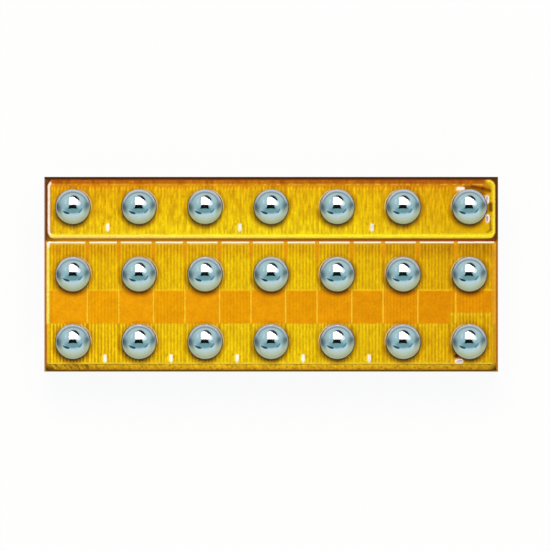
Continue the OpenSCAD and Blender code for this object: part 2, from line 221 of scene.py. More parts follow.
columnMiddle = ballX[:, None] + fingerSet["shift"]
ballFingers = columnMiddle + fingerRow(fingerSet["perBall"])
gapFingers = columnMiddle + ballPitch / 2 + fingerRow(fingerSet["perGap"])
fingers = np.sort(np.concatenate([ballFingers.ravel(), gapFingers.ravel()]))
fingers = fingers[fingers < halfX - fingerSet["beadWidth"] - fingerSet["endGap"] * pitch]
upperFingers = fingers[fingers < gateX - fingerSet["gateLand"] - fingerSet["gateGap"] * pitch]
columnHalf = (fingerSet["perBall"] / 2 + fingerSet["ribGap"]) * pitch
ribs = np.sort(np.concatenate([ballX[:-1] + columnHalf, ballX[1:] - columnHalf])) + fingerSet["shift"]
ribs[-1] += fingerSet["ribStep"] * pitch
print(len(fingers), "fingers,", len(upperFingers), "of them in the upper cell,", len(ribs), "ribs")


# the camera looks straight down; 132.16 px are one millimetre on the film, and the die sits a little left

viewSet = dict(pixels=550, pixelsPerMm=132.16, diePixel=(271.2, 274.25), distance=100.0, sensor=36.0,
               clip=(1.0, 2000.0))
frameWidth = viewSet["pixels"] / viewSet["pixelsPerMm"]
offX = (viewSet["pixels"] / 2 - viewSet["diePixel"][0]) / viewSet["pixelsPerMm"]
offY = (viewSet["diePixel"][1] - viewSet["pixels"] / 2) / viewSet["pixelsPerMm"]
camera = bpy.data.cameras.new("camera")
camera.sensor_width = viewSet["sensor"]
camera.lens = viewSet["sensor"] * viewSet["distance"] / frameWidth
camera.clip_start, camera.clip_end = [reach * mm for reach in viewSet["clip"]]
cameraObject = bpy.data.objects.new("camera", camera)
cameraObject.location = (offX * mm, offY * mm, (filmTop + viewSet["distance"]) * mm)
bpy.context.scene.collection.objects.link(cameraObject)
bpy.context.scene.camera = cameraObject
bpy.context.scene.view_settings.view_transform = "Standard"
print("camera lens", camera.lens)


# studio, laid out by what a ball mirrors when seen from above: places u, v on its disc, whose radius is 1

mirrorRatio = ballRadius / crownRadius
cardDistance = 200.0
cardSet = dict(
    softbox=dict(colour="#FFE6DA", strength=7.6, spots=[
        (-0.21, 0.155), (0.25, 0.155), (0.25, 0.375), (0.12, 0.45), (0.03, 0.515), (-0.06, 0.545),
        (-0.20, 0.50)]),
    scrim=dict(colour="#F2FAFF", strength=1.15, spots=[
        (0.25, 0.155), (0.235, 0.08), (0.33, 0.065), (0.41, 0.13), (0.43, 0.22), (0.34, 0.335),
        (0.25, 0.375)]),
    strip=dict(colour="#D6EEF2", strength=1.0, spots=[
        (-0.46, 0.18), (-0.39, 0.16), (-0.36, 0.40), (-0.42, 0.44)]),
    flag=dict(colour="#1C2C34", strength=1.0, spots=[
        (-0.14, 0.585), (-0.05, 0.595), (0.05, 0.555), (0.135, 0.48), (0.25, 0.405), (0.335, 0.345),
        (0.365, 0.40), (0.30, 0.50), (0.22, 0.585), (0.12, 0.64), (0.0, 0.65), (-0.1, 0.625)]),
    lensHood=dict(colour="#0A1012", strength=1.0, spots=[
        (-0.27, -0.10), (-0.20, -0.10), (-0.10, -0.085), (0.05, -0.085), (0.16, -0.10), (0.23, -0.10),
        (0.155, 0.12), (-0.21, 0.12)]),
    tableLeft=dict(colour="#22525C", strength=1.0, spots=[
        (-0.60, -0.19), (-0.54, -0.215), (-0.42, -0.25), (-0.30, -0.285), (-0.18, -0.35), (-0.24, -0.41),
        (-0.36, -0.40), (-0.47, -0.355), (-0.57, -0.26)]),
    tableRight=dict(colour="#5C94A0", strength=1.0, spots=[
        (0.26, -0.31), (0.34, -0.24), (0.42, -0.15), (0.47, -0.075), (0.525, -0.105), (0.49, -0.20),
        (0.42, -0.30), (0.31, -0.355)]))


def mirrored(spots):  # direction that the crown mirrors at places on its disc: twice its slope off upright
    u, v = np.transpose(spots)
    reach = np.hypot(u, v)
    tilt = 2 * np.arcsin(reach * mirrorRatio)
    return np.column_stack([np.sin(tilt) * u / reach, np.sin(tilt) * v / reach, np.cos(tilt)])


for name, card in cardSet.items():
    material, add = startMaterial(name)
    glow = add("Emission", [card["colour"], card["strength"]])
    add("OutputMaterial", [glow])
    addStage(name, mirrored(card["spots"]) * cardDistance, material)

# the room behind the cards, by places u, v = direction / (ratio * sqrt(2 + 2z)): colours run along
# v - bow * u * u, one row of stops in the middle and a tilted one at the sides, with a dim patch in front of
# the lens, a pale ceiling that starts at a thin line, and darkness low at both ends
roomSet = dict(
    bow=0.68, tilt=0.12, sideFrom=(0.5, 0.78), floorLift=0.0001,
    middle=[(-1.0, "#B6B584"), (-0.9, "#BDBF8F"), (-0.72, "#CDD8BD"), (-0.6, "#D0E1D8"), (-0.5, "#D2E9F0"),
            (-0.42, "#D0E6EC"), (-0.3, "#A5CAD1"), (-0.1, "#A8CCD1"), (0.1, "#B4D5DA"), (0.3, "#BBD9DE"),
            (0.6, "#C4D6DA"), (1.0, "#BDCCD1")],
    sides=[(-1.0, "#B6B682"), (-0.88, "#CBD0AB"), (-0.75, "#B9C29C"), (-0.65, "#A6B6A8"), (-0.57, "#82938E"),
           (-0.45, "#6C7F81"), (-0.33, "#677A7D"), (-0.22, "#7E9398"), (-0.1, "#94AAB0"), (0.0, "#A4BCC2"),
           (0.2, "#ABBCC1")],
    shade=dict(middle=(-0.03, -0.18), reach=(0.48, 0.21), fade=(0.6, 1.15), colour="#7BAAB0"),
    ceiling=dict(above=(0.1, 0.4), line=(0.82, 0.045), lineTone="#93A8AE", start=(0.84, 0.9), tone="#D6DBE0"),
    rim=dict(tones=[(-0.94, "#A8AEAE"), (-0.76, "#FFFFFF"), (0.8, "#FFFFFF"), (0.94, "#DCE0E0")], middle=0.1,
             fade=(0.25, 0.55)))
shade, ceiling, rim = roomSet["shade"], roomSet["ceiling"], roomSet["rim"]
world = bpy.data.worlds.new("room")
bpy.context.scene.world = world
world.use_nodes = True
world.node_tree.nodes.clear()
add = partial(addNode, world.node_tree)
rayX, rayY, rayZ = add("SeparateXYZ", [add("TexCoord").outputs["Generated"]]).outputs
double = add("Math", [rayZ, 2.0, 2.0 + roomSet["floorLift"]], operation="MULTIPLY_ADD")
root = add("Math", [double], operation="SQRT")
spread = add("Math", [root, mirrorRatio], operation="MULTIPLY")
spotU = add("Math", [rayX, spread], operation="DIVIDE")
spotV = add("Math", [rayY, spread], operation="DIVIDE")
square = add("Math", [spotU, spotU], operation="MULTIPLY")
bent = add("Math", [square, -roomSet["bow"], spotV], operation="MULTIPLY_ADD")
tilted = add("Math", [spotU, -roomSet["tilt"], bent], operation="MULTIPLY_ADD")
walls = []
for run, stops in ((bent, roomSet["middle"]), (tilted, roomSet["sides"]), (spotU, rim["tones"])):
    along = add("MapRange", [run, -1.0, 1.0])
    walls.append(add("ValToRGB", [along], stops=[((place + 1) / 2, tone) for place, tone in stops]))
reach = add("Math", [spotU], operation="ABSOLUTE")
atSide = add("MapRange", [reach, *roomSet["sideFrom"]], interpolation_type="SMOOTHSTEP")
room = add("Mix", [atSide, walls[0], walls[1]], data_type="RGBA")
spot = add("CombineXYZ", [spotU, spotV])
away = add("VectorMath", [spot, (*shade["middle"], 0)], operation="SUBTRACT")
away = add("VectorMath", [away, (*shade["reach"], 1)], operation="DIVIDE")
away = add("VectorMath", [away], operation="LENGTH")
shaded = add("MapRange", [away, *shade["fade"], 1.0, 0.0], interpolation_type="SMOOTHSTEP")
room = add("Mix", [shaded, room, shade["colour"]], data_type="RGBA")
ring = add("VectorMath", [spot], operation="LENGTH")
above = add("MapRange", [spotV, *ceiling["above"]], interpolation_type="SMOOTHSTEP")
onLine = add("Math", [ring, *ceiling["line"]], operation="COMPARE")
onCeiling = add("MapRange", [ring, *ceiling["start"]], interpolation_type="SMOOTHSTEP")
for zone, tone in ((onLine, ceiling["lineTone"]), (onCeiling, ceiling["tone"])):
    share = add("Math", [zone, above], operation="MULTIPLY")
    room = add("Mix", [share, room, tone], data_type="RGBA")
toRim = add("Math", [spotV, rim["middle"]], operation="SUBTRACT")
toRim = add("Math", [toRim], operation="ABSOLUTE")
level = add("MapRange", [toRim, *rim["fade"], 1.0, 0.0], interpolation_type="SMOOTHSTEP")
room = add("Mix", [level, room, walls[2]], data_type="RGBA", blend_type="MULTIPLY")
add("OutputWorld", [add("Background", [room, 1.0])])

# white paper under the die: white to the eye and in mirrors, a small share of it still takes the shadow
paperSet = dict(reach=300.0, white="#FFFFFF", matt="#F8F8F8", share=0.93)
material, add = startMaterial("white paper")
path = add("LightPath").outputs
seen = add("Math", [path["Is Camera Ray"], path["Is Glossy Ray"]], operation="MAXIMUM")
seen = add("Math", [seen, path["Is Transmission Ray"]], operation="MAXIMUM")
share = add("Math", [seen, paperSet["share"]], operation="MULTIPLY")
matt = add("BsdfDiffuse", [paperSet["matt"]])
glow = add("Emission", [paperSet["white"], 1.0])
add("OutputMaterial", [add("MixShader", [share, matt, glow])])
addStage("paper", np.array([(-1, -1, 0), (1, -1, 0), (1, 1, 0), (-1, 1, 0)]) * paperSet["reach"], material)
print("studio ready")


# amber polyimide, spun on and cured: clear warm colour that changes with its thickness, smooth gloss,
# with a grain that is drawn as coarse as it needs to show

filmSet = dict(grain=0.016, grainTones=((0.935, 0.895, 0.895, 1), (1.065, 1.105, 1.105, 1)),
               cloud=0.09, cloudTones=((0.95, 0.925, 0.925, 1), (1.05, 1.075, 1.075, 1)),
               detail=2.0, bump=0.0006, bumpStrength=0.6, ior=1.6, specular=0.06, edgeDim=0.8)


def filmMaterial():  # the painted colour times two noises, fine grain and wide clouds; painted dullness
    material, add, place = startSurface("amber polyimide, spun on and cured")
    colour = add("Attribute", attribute_name="filmColour")
    dull = add("Attribute", attribute_name="filmDullness").outputs["Fac"]
    grain = add("TexNoise", [place, 1 / filmSet["grain"], filmSet["detail"]])
    cloud = add("TexNoise", [place, 1 / filmSet["cloud"], filmSet["detail"]])
    for noise, tones in ((grain, filmSet["grainTones"]), (cloud, filmSet["cloudTones"])):
        share = add("MapRange", [noise, *noiseSpan])
        tone = add("Mix", [share, *tones], data_type="RGBA")
        colour = add("VectorMath", [colour, tone], operation="MULTIPLY")
    finishSurface(add, filmSet, grain, {"Base Color": colour, "Roughness": dull, "IOR": filmSet["ior"],
                                        "Specular IOR Level": filmSet["specular"]})
    return material


# how deep inside a rounded rectangle a point lies, and which way is out
def roundedDepth(x, y, low, high, corner):
    fromX, fromY = x - (low[0] + high[0]) / 2, y - (low[1] + high[1]) / 2
    pastX = np.abs(fromX) - (high[0] - low[0]) / 2 + corner
    pastY = np.abs(fromY) - (high[1] - low[1]) / 2 + corner
    outX, outY = np.clip(pastX, 0, None), np.clip(pastY, 0, None)
    outside = np.hypot(outX, outY)
    inCorner = outside > hair
    sideX = np.where(inCorner, outX, pastX > pastY) * np.sign(fromX)
    sideY = np.where(inCorner, outY, pastY >= pastX) * np.sign(fromY)
    size = np.hypot(sideX, sideY) + hair
    return corner - outside - np.minimum(np.maximum(pastX, pastY), 0), sideX / size, sideY / size


def filmLines(low, high, step, anchor=None):  # grid lines from low to high, in step with an anchor if given
    if anchor is None:
        return np.linspace(low, high, int(round((high - low) / step)) + 1)
    lines = anchor + step * np.arange(np.ceil((low - anchor) / step), np.floor((high - anchor) / step) + 1)
    inner = lines[(lines > low + step / 3) & (lines < high - step / 3)]  # none too close to an end
    return np.concatenate([[low], inner, [high]])


def joinLines(*lineSets):  # grid lines put together in order; those that agree to a nanometre become one
    return np.unique(np.round(np.concatenate(lineSets), 6))


def filmGrid(xLines, yLines, low, high, corner, squeeze):  # grid whose ends draw in as arcs near its corners
    x, y = np.meshgrid(xLines, yLines)
    edge = np.clip(np.minimum(y - low[1], high[1] - y), 0, corner)
    drawIn = corner - np.sqrt(corner ** 2 - (corner - edge) ** 2)
    return x - np.sign(x) * drawIn * smooth(high[0] - squeeze, high[0], np.abs(x)), y


def ridgeProfile(x, places):  # rounded ridges: a cosine wave, 1 over each place, 0 half a pitch from it
    near = np.abs(x[:, None] - places)
    return 0.5 + 0.5 * np.cos(np.pi * np.clip(near.min(axis=1) / (pitch / 2), 0, 1)), near.argmin(axis=1)


def livelyStripes(x):  # ridges over all fingers and one place left of them, each with a random height near 1
    stripes, which = ridgeProfile(x, np.append(fingers[0] - pitch, fingers))
    least, spread = fingerSet["lively"]
    return stripes * (least + spread * chance.random(len(fingers) + 1))[which]


# random values from -1 to 1, one per width along x, in straight runs of length along y
def patches(xLines, yLines, width, length):
    column = np.floor((xLines - xLines[0]) / width).astype(int)
    place = (yLines - yLines[0]) / length
    knot = place.astype(int)
    values = chance.uniform(-1, 1, (column[-1] + 1, knot[-1] + 2))
    runs = values[:, knot] + (values[:, knot + 1] - values[:, knot]) * (place - knot)
    return runs.T[:, column]


def ballDistance(x, y, spots):  # distance from the nearest ball's axis
    return np.hypot(x[..., None] - spots[:, 0], y[..., None] - spots[:, 1]).min(axis=-1)


def clearOfPads(distance):  # 0 over a pad, 1 beyond its clearance
    return smooth(padRadius - fingerSet["padSoft"], padRadius + fingerSet["clearance"], distance)


def strokeDistance(x, y, start, end):  # distance from a straight stroke
    run = np.subtract(end, start)
    along = np.clip(((x - start[0]) * run[0] + (y - start[1]) * run[1]) / (run @ run), 0, 1)
    return np.hypot(x - start[0] - along * run[0], y - start[1] - along * run[1])


def filmMesh(name, x, y, z, colour, dullness):  # closed film: top grid, skirt down to the film's base, floor
    index = np.arange(x.size).reshape(x.shape)
    top = np.stack([x, y, z], -1).reshape(-1, 3)
    ring = np.concatenate([index[0, :-1], index[:-1, -1], index[-1, :0:-1], index[:0:-1, 0]])
    skirt = top[ring] * (1, 1, 0) + (0, 0, filmBase)
    below = len(top) + np.arange(len(ring))
    quads = np.stack([index[:-1, :-1], index[:-1, 1:], index[1:, 1:], index[1:, :-1]], -1).reshape(-1, 4)
    walls = np.stack([ring, below, np.roll(below, -1), np.roll(ring, -1)], -1)
    mesh = meshFrom(name, np.concatenate([top, skirt]), [quads, walls, below[None, ::-1]])
    colour, dullness = colour.reshape(-1, 3), dullness.ravel()
    colour = np.concatenate([colour, colour[ring] * filmSet["edgeDim"]])
    colour = np.column_stack([colour, np.ones(len(colour))])
    dullness = np.concatenate([dullness, dullness[ring]])
    tones = mesh.color_attributes.new("filmColour", "FLOAT_COLOR", "POINT")
    tones.data.foreach_set("color", colour.astype(np.float32).ravel())
    dull = mesh.attributes.new("filmDullness", "FLOAT", "POINT")
    dull.data.foreach_set("value", dullness.astype(np.float32))
    return mesh


# the film's thickness changes across the die: yellowest near the middle, brownest at the right end
tintSet = dict(x=[-1.7, -0.8, -0.1, 0.6, 1.25, 1.7], red=[0.985, 1.0, 1.0, 0.96, 0.90, 0.88],
               green=[0.85, 0.95, 1.0, 0.92, 0.775, 0.73], blue=[0.5, 0.55, 0.6, 0.55, 0.5, 0.45],
               bite=(1.2, 1.85, 1.85))


def tintAlong(x, tint):  # linear factors for red, green and blue, straight runs along x
    return np.stack([np.interp(x, tint["x"], tint[part]) for part in ("red", "green", "blue")], -1)


# places where probes have bared the metal: oval middles and whether they lie along x, as the CAD model has
# them; a pair of lip, glow or glowTone is for the ovals on the fingers and for those on the gates
markSet = dict(
    length=0.05, width=0.016, gateFrom=1.3, lip=(0.005, 0.0085), lipFade=(0.4, 1.2), lipTone="#FFFAEC",
    glow=(0.017, 0.026), glowShift=-0.012, glowShare=0.7, glowTone=("#FFE43A", "#F6AE1E"),
    scorch="#7A4A06", scorchShare=0.55, scorchFade=(0.2, 1.3),
    specks=[(-0.03, 0.026, 0.011), (0.022, 0.012, 0.009), (-0.018, -0.03, 0.008)],
    burn="#4A1E02", burnShare=0.8, burnFade=(0.3, 1.4), burnFlat=1.6, burnSize=0.017,
    burnSpot=(1.4035, -0.618),
    upper=[(-1.236, 0.354, False), (-0.236, 0.354, False), (0.764, 0.354, False),
           (1.635, 0.566, False), (1.637, 0.422, False), (1.434, 0.646, True)],
    lower=[(-1.257, -0.636, False), (-0.757, -0.636, False), (-0.257, -0.636, False),
           (0.243, -0.636, False), (0.743, -0.636, False), (1.422, -0.658, True)])


def ovalDistance(x, y, lying):  # distance from the rim of an oval mark at zero, negative inside
    across, along = (np.abs(y), np.abs(x)) if lying else (np.abs(x), np.abs(y))
    straight = (markSet["length"] - markSet["width"]) / 2
    return np.hypot(across, np.clip(along - straight, 0, None)) - markSet["width"] / 2


# round each oval go scorched specks, a glow left of it and a pale lip; one burn deepens with every oval
def paintMarks(colour, x, y, marks):
    burnX, burnY = markSet["burnSpot"]
    ledgeTones = np.hypot(x - burnX, (y - burnY) * markSet["burnFlat"]) / markSet["burnSize"]
    burn = markSet["burnShare"] * fallOff(*markSet["burnFade"], ledgeTones)
    for spotX, spotY, lying in marks:
        atGate = int(spotX > markSet["gateFrom"])
        dx, dy = x - spotX, y - spotY
        for offX, offY, size in markSet["specks"]:
            scorched = fallOff(*markSet["scorchFade"], np.hypot(dx - offX, dy - offY) / size)
            colour = paint(colour, (markSet["scorch"], markSet["scorchShare"] * scorched))
        glow = fallOff(0, markSet["glow"][atGate], ovalDistance(dx - markSet["glowShift"], dy, lying))
        lip = fallOff(*markSet["lipFade"], ovalDistance(dx, dy, lying) / markSet["lip"][atGate])
        colour = paint(colour, (markSet["glowTone"][atGate], markSet["glowShare"] * glow),
                       (markSet["burn"], burn), (markSet["lipTone"], lip))
    return colour


# painted shadows at each ball, one all round, a strong one below and a weak one at the right, and a painted
# highlight on the film's rim on the side towards the die's middle; reaches count ball radii, shares are for
# red, green and blue
ballShadowSet = dict(
    shadows=[dict(reach=(1.04, 1.28), share=(0.18, 0.24, 0.1), way=(0.0, 0.0), fan=(-1.0, 0.0)),
            dict(reach=(1.05, 1.4), share=(0.5, 0.6, 0.42), way=(-0.31, -0.95), fan=(0.2, 0.9)),
            dict(reach=(1.04, 1.3), share=(0.14, 0.2, 0.1), way=(0.93, -0.36), fan=(0.0, 0.8))],
    rim=(0.985, 1.04), rimSoft=0.025, rimTone="#FFF6D2", rimShare=0.75, rimWay=(0.87, 0.5),
    rimFan=(0.7, 0.95))


# painted shadow, darker by the distance from a ball's axis and by how squarely a point lies in the shadow's
# way;
# then the painted highlight on the rim
def paintBallShadows(colour, x, y, spots):
    for spotX, spotY in spots:
        dx, dy = (x - spotX) / ballRadius, (y - spotY) / ballRadius
        away = np.hypot(dx, dy) + hair
        for stainAndShadow in ballShadowSet["shadows"]:
            facing = smooth(*stainAndShadow["fan"], (dx * stainAndShadow["way"][0] + dy * stainAndShadow["way"][1]) / away)
            colour = colour * (1 - (fallOff(*stainAndShadow["reach"], away) * facing)[..., None] * stainAndShadow["share"])
        inward = (-np.sign(spotX) * dx * ballShadowSet["rimWay"][0] + dy * ballShadowSet["rimWay"][1]) / away
        # painted highlight on the film's rim, on the side towards the die's middle
        shine = between(*ballShadowSet["rim"], away, ballShadowSet["rimSoft"]) * smooth(*ballShadowSet["rimFan"], inward)
        colour = paint(colour, (ballShadowSet["rimTone"], ballShadowSet["rimShare"] * shine))
    return colour


# upper film: ridges over the fingers inside a bead all round; its colour fades from brown at the top, with
# dashes and teeth where the fingers start, and the bead has painted highlights and painted shade at its left,
# right and foot
upperSet = dict(
    corner=0.042, squeeze=0.1, ridgeHeight=0.003, rowStep=0.008, beadStep=0.0032, soft=0.004,
    dullness=0.22, topDullness=0.6, dullFade=(0.02, 0.06),
    stripe=(0.955, 0.09), stripeFrom=(0.046, 0.062), stripeEnd=(1.30, 1.42), rough=0.15, roughRun=0.04,
    tooth=(0.054, 0.084), toothGain=2.0, seam=0.0227, seamGain=0.08, seamFade=(0.004, 0.014),
    waver=0.012, waverCell=(0.02, 0.05), waverFrom=(0.0, 0.02),
    fade=[(0.0, "#743A04"), (0.006, "#9A5406"), (0.014, "#BA6606"), (0.024, "#CA7606"), (0.032, "#D48606"),
          (0.042, "#DA9208"), (0.054, "#DA980E"), (0.07, "#DFA610"), (0.09, "#E3B20E"), (0.12, "#E5B80E"),
          (0.2, "#E8BD0D"), (0.3, "#E9C410"), (0.4, "#ECCB18")],
    dash=(0.033, 0.041), dashSoft=0.003, dashTone="#F8C044", dashShare=(0.35, 0.85), dashCell=0.018,
    dashBreak=(0.4, 0.65),
    # cornerTone: painted shade outside the bead's rounded corners
    paintCorner=0.058, cornerTone="#3A1C02", cornerSoft=0.005, beadEnd=1.35, sideFan=(0.1, 0.7),
    topRight=(-0.09, -0.05), topFan=(0.1, 0.6),
    # left: painted shade at the outer edge, then a painted white highlight on the bead's left flank
    left=[(0.0, "#6E3406"), (0.005, "#9A5A22"), (0.010, "#FFEEDC"), (0.021, "#FFF4E8"), (0.025, "#F4CE74"),
          (0.030, "#C08214"), (0.035, "#D69E12"), (0.04, "#DFAB12")],
    # right: painted shade at the outer edge, then a painted yellow highlight on the flank
    right=[(0.0, "#8E6810"), (0.004, "#D8AC2C"), (0.009, "#FFE052"), (0.017, "#F8DC2A"), (0.026, "#EACB18"),
           (0.037, "#E2B212")],
    # foot: a painted yellow highlight along the bead's foot, brightest at its edge where it lifts the shading
    foot=[(0.0, "#FFC24A"), (0.004, "#FFD060"), (0.009, "#FFD87A"), (0.016, "#FFDE66"), (0.024, "#FFEA3C"),
          (0.031, "#EED820"), (0.04, "#DABE0E")],
    footTint=dict(x=[-1.2, -0.4, 0.3, 1.1], red=[1.0, 1.0, 1.0, 0.95], green=[1.0, 1.06, 1.09, 1.02],
                  blue=[1.0, 0.58, 0.27, 0.2]),
    # painted shade: dark strokes inside the bead at the gate's end, and an arc of it over the gate's ball
    gateShade="#6A2E02", gateShadeFade=(0.4, 1.4),
    gateShadeStrokes=[((1.657, 0.405), (1.661, 0.338), 0.009, 0.6), ((1.661, 0.338), (1.636, 0.318), 0.008, 0.5),
             ((1.66, 0.532), (1.662, 0.485), 0.016, 0.85), ((1.52, 0.666), (1.60, 0.65), 0.013, 0.8),
             ((1.60, 0.648), (1.652, 0.632), 0.017, 0.8)],
    browShade=dict(turn=(0.4, 2.0), turnSoft=0.3, reach=(0.15, 0.175), side=0.2, share=0.5))


# the fade from the top, times each finger's stripe, with dashes along the top
def paintUpperStripes(xLines, yLines, x, fromTop, ridgeZone):
    tooth = 1 + upperSet["toothGain"] * between(*upperSet["tooth"], fromTop, upperSet["soft"])
    level = upperSet["stripe"][0] + upperSet["stripe"][1] * livelyStripes(xLines) * tooth
    level += upperSet["rough"] * patches(xLines, yLines, pitch / 2, upperSet["roughRun"])
    toSeam = np.abs(xLines[:, None] - ribs - upperSet["seam"]).min(axis=1)
    level += upperSet["seamGain"] * fallOff(*upperSet["seamFade"], toSeam)
    zone = ridgeZone * smooth(*upperSet["stripeFrom"], fromTop) * fallOff(*upperSet["stripeEnd"], x)
    waver = upperSet["waver"] * patches(xLines, yLines, *upperSet["waverCell"])
    colour = ramp(fromTop + waver * smooth(*upperSet["waverFrom"], fromTop), upperSet["fade"])
    colour *= tintAlong(x, tintSet) * (1 + zone * (level - 1))[..., None] ** tintSet["bite"]
    cells = np.arange(-halfX, halfX, upperSet["dashCell"])
    broken = smooth(*upperSet["dashBreak"], np.interp(xLines, cells, chance.random(len(cells))))
    dash = broken * between(*upperSet["dash"], fromTop, upperSet["dashSoft"])
    dash = dash * np.interp(xLines, (-halfX, halfX), upperSet["dashShare"])
    return paint(colour, (upperSet["dashTone"], dash))


# painted highlights and painted shade on the bead: rows of colours by the depth inside it, each where the
# bead faces its side, and painted shade outside its rounded corners
def paintBeadLightAndShade(colour, x, y, outX, outY):
    depth = roundedDepth(x, y, upperLow, upperHigh, upperSet["paintCorner"])[0]
    onBead = fallOff(fingerSet["beadWidth"], fingerSet["beadWidth"] * upperSet["beadEnd"], depth)
    topRight = smooth(*about(halfX, upperSet["topRight"]), x) * smooth(*upperSet["topFan"], outY)
    atLeft = smooth(*upperSet["sideFan"], -outX)
    atRight = np.maximum(smooth(*upperSet["sideFan"], outX), topRight)
    atFoot = np.clip(-outY, 0, 1) ** 2
    foot = ramp(depth, upperSet["foot"]) * tintAlong(x, upperSet["footTint"])
    return paint(colour, (ramp(depth, upperSet["left"]), onBead * atLeft),
                 (ramp(depth, upperSet["right"]), onBead * atRight), (foot, onBead * atFoot),
                 (upperSet["cornerTone"], fallOff(-upperSet["cornerSoft"], 0, depth)))


# painted shade: brown strokes inside the bead at the gate's end, and an arc of it over the gate's ball
def paintGateShade(colour, x, y, ballReach):  # brown strokes at the gate's end, and a brow over the gate's ball
    for start, end, half, share in upperSet["gateShadeStrokes"]:
        gateShade = fallOff(*upperSet["gateShadeFade"], strokeDistance(x, y, start, end) / half)
        colour = paint(colour, (upperSet["gateShade"], share * gateShade))
    browShade = upperSet["browShade"]
    facing = between(*browShade["turn"], np.arctan2(y - rowY[0], x - gateX), browShade["turnSoft"])
    over = facing * fallOff(*browShade["reach"], ballReach) * (x > gateX - browShade["side"])
    return paint(colour, (upperSet["gateShade"], browShade["share"] * over))


def upperFilm():  # height: flat film, plus ridges clear of the pads, plus the bead's round back
    bead = fingerSet["beadWidth"]
    innerLow, innerHigh = upperLow[1] + bead, upperHigh[1] - bead
    xLines = filmLines(-halfX, halfX, pitch / fingerSet["gridLines"], ballX[0] + fingerSet["shift"])
    yLines = joinLines(filmLines(upperLow[1], innerLow, upperSet["beadStep"]),
                       filmLines(innerLow, innerHigh, upperSet["rowStep"]),
                       filmLines(innerHigh, upperHigh[1], upperSet["beadStep"]))
    x, y = filmGrid(xLines, yLines, upperLow, upperHigh, upperSet["corner"], upperSet["squeeze"])
    depth, outX, outY = roundedDepth(x, y, upperLow, upperHigh, upperSet["corner"])
    ballReach = ballDistance(x, y, ballSpots[:columns])
    ridgeZone = between(innerLow, innerHigh, y, upperSet["soft"]) * clearOfPads(ballReach)
    z = filmTop + upperSet["ridgeHeight"] * ridgeProfile(xLines, upperFingers)[0] * ridgeZone
    z += roundBack(depth - bead / 2, bead, upperHigh[2] - filmTop)
    fromTop = upperHigh[1] - y
    colour = paintUpperStripes(xLines, yLines, x, fromTop, ridgeZone)
    colour = paintBeadLightAndShade(colour, x, y, outX, outY)
    colour = paintGateShade(colour, x, y, ballReach)
    colour = paintBallShadows(colour, x, y, ballSpots[:columns])
    colour = paintMarks(colour, x, y, markSet["upper"])
    duller = upperSet["topDullness"] - upperSet["dullness"]
    dullness = upperSet["dullness"] + duller * fallOff(*upperSet["dullFade"], fromTop)
    mesh = filmMesh("amberFilmUpper", x, y, z, colour, dullness)
    return addPiece(mesh, polyimide, "passivation", "upper_passivation")


# lower film: ridges over the fingers above and below a plain band, ribs between the columns and a line at the
# left; the band's panels turn from gold to brown along x, and bright bars stand along the upper edge
lowerSet = dict(
    corner=0.012, squeeze=0.05, ridgeHeight=0.003, rowStep=0.0086, soft=0.004, fineSoft=0.003, gateFoot=0.01,
    dullness=0.22, low="#E6C00E", high="#E5BC0C", deep="#DBA90A", deepFrom=(0.11, 0.18), deepRight=0.86,
    stripe=(0.89, 0.22), deepStripe=(0.85, 0.29), rough=0.09, roughRun=0.03,
    gain=[(-1.6, 2.0), (-0.6, 1.05), (0.6, 0.95), (1.6, 1.2)],
    ballPanel=[(-1.5, "#EFA208"), (0.0, "#E99B06"), (1.5, "#E09104")],
    gapPanel=[(-1.5, "#EBA104"), (0.0, "#E69B04"), (1.5, "#DD8D04")], faintStripe=0.1, faintTurn=(-0.5, 1.2),
    panelLip="#FAD020", panelLipAt=(-0.004, 0.006), panelLipShare=(0.8, 0.32), tipAt=(-0.018, -0.002),
    tipShare=0.6,
    rib="#FFD02A", ribFade=(0.4, 0.8), ribEnd=0.05, ribSoft=0.02,
    divider="#E29C0A", dividerFade=(0.012, 0.02), dividerFrom=(0.08, 0.15),
    # underBar: painted shadow on the film just below the bars
    barFrom=(0.0145, 0.016), underBar=[(-1.5, "#D2A62E"), (0.0, "#D2A830"), (1.5, "#A6781A")],
    underFrom=(-0.01, -0.002), underShare=0.8, barGlow=[(0.4, "#E2B86A"), (1.5, "#F2C4B4")],
    glowFrom=(-0.004, 0.002), barFoot="#FFE28C", footAt=(-0.005, 0.003), footShare=(0.35, 0.0),
    # lipTone: painted light along the film's lower edge, lifting the shading of its step
    lipTone="#F4CE38", lipShare=0.65, lipFade=(0.008, 0.02), leftFade=(0.018, 0.027),
    rightFade=(0.024, 0.034), rightShare=0.85, lineTop="#FFF0E0", lineTopFrom=(-0.06, -0.03),
    line=[(0.0, "#FFE05A"), (0.004, "#FFF070"), (0.013, "#FFEE62"), (0.019, "#F2CE44"), (0.026, "#E0B41C")],
    margin=[(0.0, "#DCA020"), (0.006, "#EEBE26"), (0.02, "#E8BC1A"), (0.03, "#E4BA14")],
    edge=[(0.0, "#F6B84C"), (0.006, "#EAAA32"), (0.012, "#DC9C20"), (0.022, "#E0A020"), (0.03, "#DCA01C")],
    lowEdge=[(0.0, "#E8AC44"), (0.008, "#CC9416"), (0.018, "#CC9616"), (0.026, "#E8B822"),
             (0.036, "#E0B21C")])
bandTop, bandBottom = fingerSet["bandTop"], fingerSet["bandBottom"]
gateTop = bandBottom + fingerSet["gateStripe"]
ridgeTop = lowerHigh[1] - fingerSet["barWidth"] - 2 * fingerSet["clearance"]


